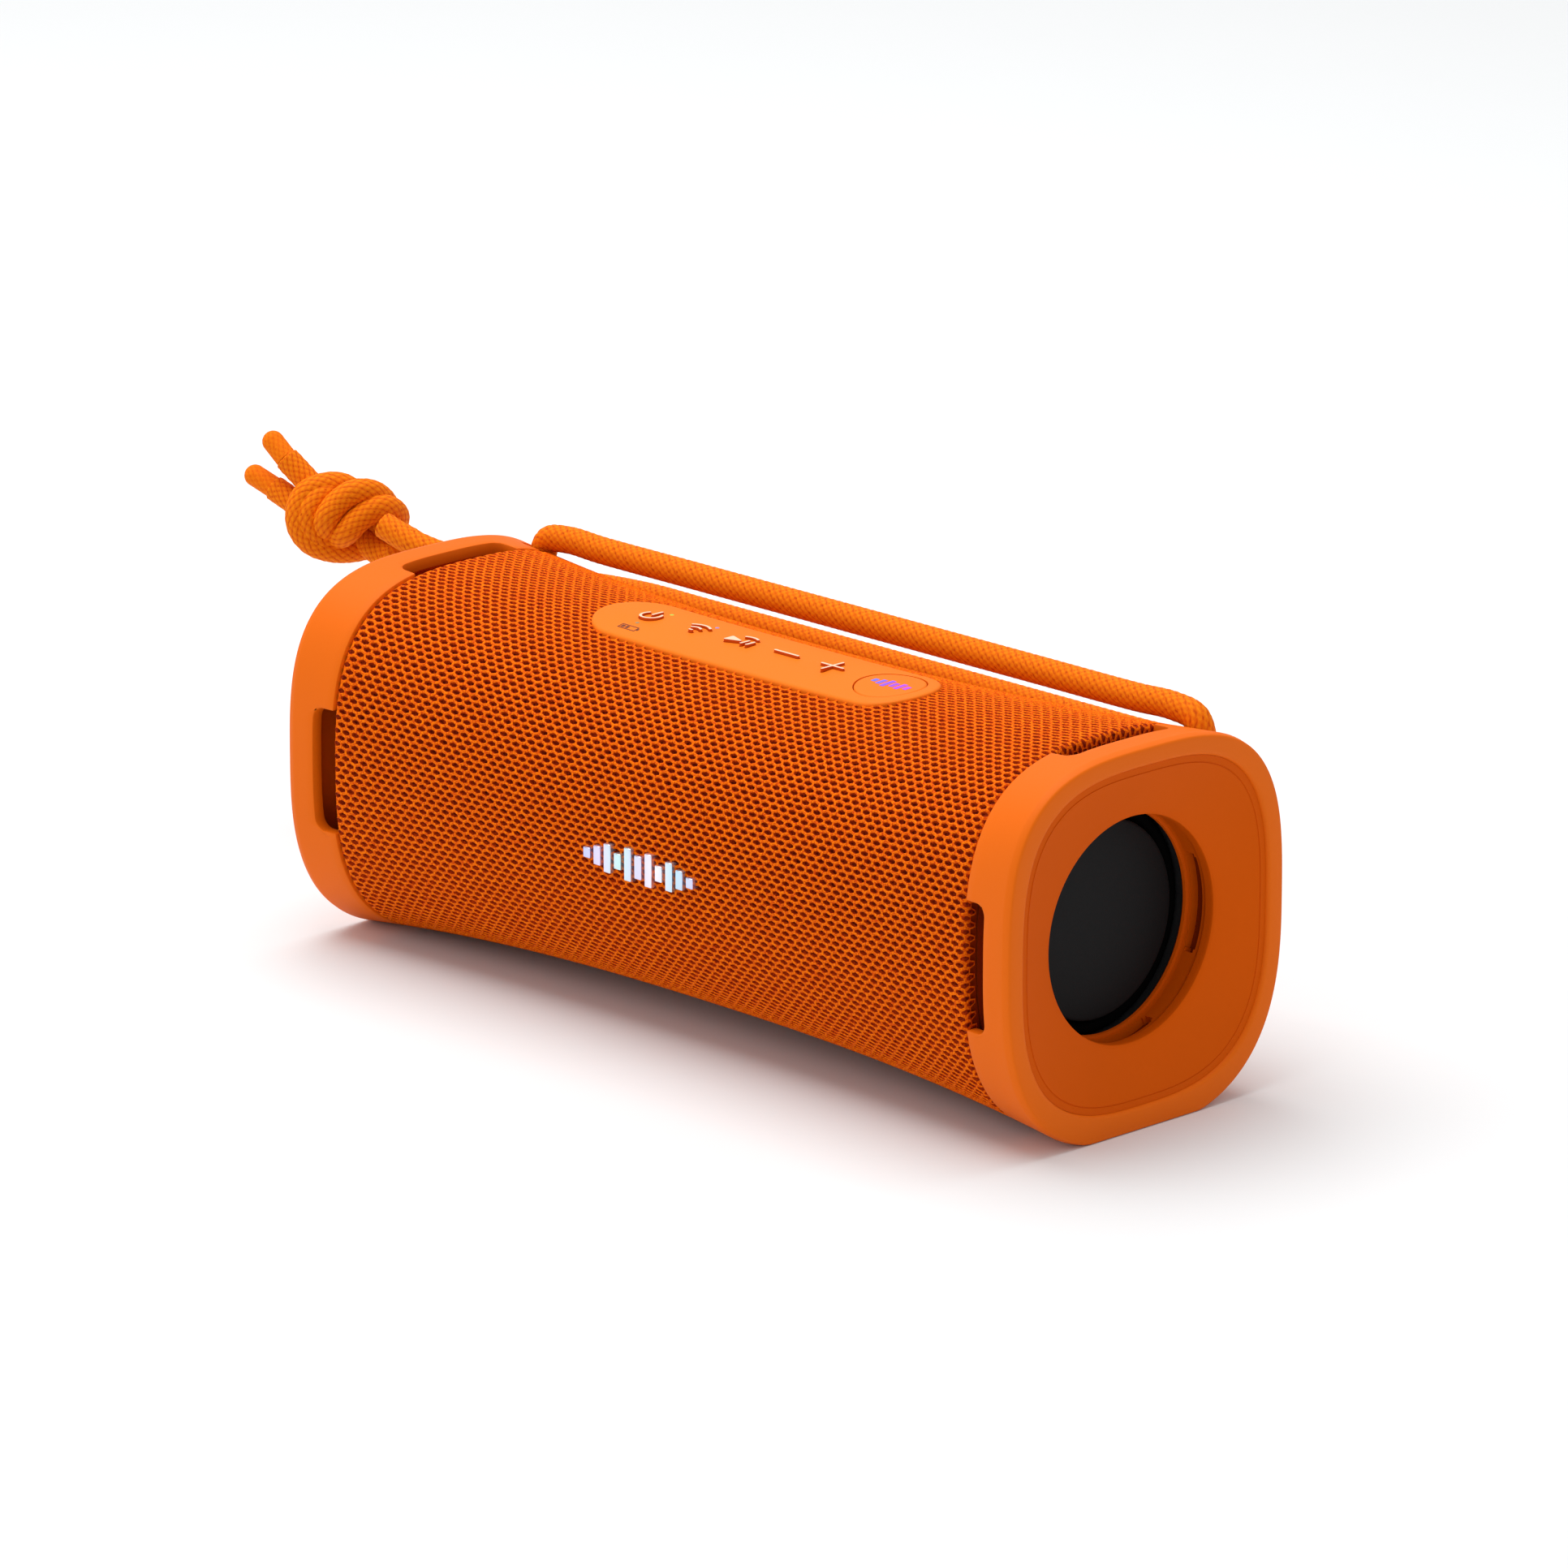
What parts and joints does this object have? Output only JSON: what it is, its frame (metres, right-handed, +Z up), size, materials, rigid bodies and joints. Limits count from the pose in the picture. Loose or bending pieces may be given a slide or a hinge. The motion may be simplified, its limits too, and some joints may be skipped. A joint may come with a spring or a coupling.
{
  "type": "portable bluetooth speaker",
  "caption": "Waisted fabric-sleeved speaker between two slotted bumper rings, with key panel, end radiators, rear port cover and knotted cord strap.",
  "frame": {"origin": "bottom centre, on the surface that the end rings stand on", "axes": "+X along the body towards the end with the open face seen in the usual view, -Y front, +Z up"},
  "size_m": [0.2921, 0.0852, 0.0854],
  "materials": {
    "sleeve_fabric": "open spacer mesh",
    "bumper_rubber": "satin",
    "end_plate": "matte",
    "panel_rubber": "soft matte",
    "key_rubber": "soft matte",
    "cabinet_plastic": "matte",
    "black_plastic": "satin",
    "seal_rubber": "matte",
    "driver_steel": "satin",
    "badge_metal": "iridescent",
    "circuit_board": "satin",
    "cell_wrap": "glossy",
    "light_pipe": "clear",
    "strap_braid": "braided"
  },
  "bodies": {
    "root": {"fabric_sleeve": "sleeve_fabric", "cabinet_front": "cabinet_plastic", "cabinet_rear": "cabinet_plastic", "gasket_top": "seal_rubber", "gasket_bottom": "seal_rubber", "control_panel": "panel_rubber", "power_light": "light_pipe", "pairing_light": "light_pipe", "charge_light": "light_pipe", "key_board": "circuit_board", "control_tray": "black_plastic", "woofer_frame": "driver_steel", "woofer_surround": "seal_rubber", "woofer_magnet": "driver_steel", "tweeter_housing": "black_plastic", "tweeter_dome": "badge_metal", "battery_cell_lower": "cell_wrap", "battery_cell_upper": "cell_wrap", "battery_cradle": "black_plastic", "main_board": "circuit_board", "charging_socket": "driver_steel", "port_bezel": "bumper_rubber", "front_badge": "badge_metal", "strap_cord": "strap_braid", "strap_knot": "strap_braid", "strap_tail_a": "strap_braid", "strap_tail_b": "strap_braid", "strap_tip_a": "bumper_rubber", "strap_tip_b": "bumper_rubber", "left_end_ring": "bumper_rubber", "left_baffle": "black_plastic", "left_end_panel": "end_plate", "left_radiator_frame": "black_plastic", "left_radiator_surround": "seal_rubber", "left_screw_front_top": "driver_steel", "left_screw_front_bottom": "driver_steel", "left_screw_rear_bottom": "driver_steel", "right_end_ring": "bumper_rubber", "right_baffle": "black_plastic", "right_end_panel": "end_plate", "right_radiator_frame": "black_plastic", "right_radiator_surround": "seal_rubber", "right_screw_front_top": "driver_steel", "right_screw_front_bottom": "driver_steel", "right_screw_rear_bottom": "driver_steel"},
    "power_key": {"power_key": "key_rubber"},
    "pairing_key": {"pairing_key": "key_rubber"},
    "play_key": {"play_key": "key_rubber"},
    "volume_down_key": {"volume_down_key": "key_rubber"},
    "volume_up_key": {"volume_up_key": "key_rubber"},
    "sound_key": {"sound_key": "panel_rubber"},
    "left_radiator": {"left_radiator_diaphragm": "black_plastic"},
    "right_radiator": {"right_radiator_diaphragm": "black_plastic"},
    "woofer_cone": {"woofer_cone": "black_plastic"},
    "port_cover": {"port_cover": "bumper_rubber"}
  },
  "joints": [
    {"name": "power_key_press", "type": "slide", "parent": "root", "child": "power_key", "axis": [0, 0, -1], "range_m": [0, 0.0005], "stiffness_N_per_m": 400},
    {"name": "pairing_key_press", "type": "slide", "parent": "root", "child": "pairing_key", "axis": [0, 0, -1], "range_m": [0, 0.0005], "stiffness_N_per_m": 400},
    {"name": "play_key_press", "type": "slide", "parent": "root", "child": "play_key", "axis": [0, 0, -1], "range_m": [0, 0.0005], "stiffness_N_per_m": 400},
    {"name": "volume_down_key_press", "type": "slide", "parent": "root", "child": "volume_down_key", "axis": [0, 0, -1], "range_m": [0, 0.0005], "stiffness_N_per_m": 400},
    {"name": "volume_up_key_press", "type": "slide", "parent": "root", "child": "volume_up_key", "axis": [0, 0, -1], "range_m": [0, 0.0005], "stiffness_N_per_m": 400},
    {"name": "sound_key_press", "type": "slide", "parent": "root", "child": "sound_key", "axis": [0, 0, -1], "range_m": [0, 0.0005], "stiffness_N_per_m": 400},
    {"name": "left_radiator_stroke", "type": "slide", "parent": "root", "child": "left_radiator", "axis": [-1, 0, 0], "range_m": [-0.003, 0.003], "stiffness_N_per_m": 600},
    {"name": "right_radiator_stroke", "type": "slide", "parent": "root", "child": "right_radiator", "axis": [1, 0, 0], "range_m": [-0.003, 0.003], "stiffness_N_per_m": 600},
    {"name": "woofer_stroke", "type": "slide", "parent": "root", "child": "woofer_cone", "axis": [0, -1, 0], "range_m": [-0.0025, 0.0025], "stiffness_N_per_m": 1500},
    {"name": "port_cover_hinge", "type": "hinge", "parent": "root", "child": "port_cover", "pos_m": [0.0471, 0.0366, 0.03], "axis": [0, 0, 1], "range_deg": [0, 110]}
  ]
}
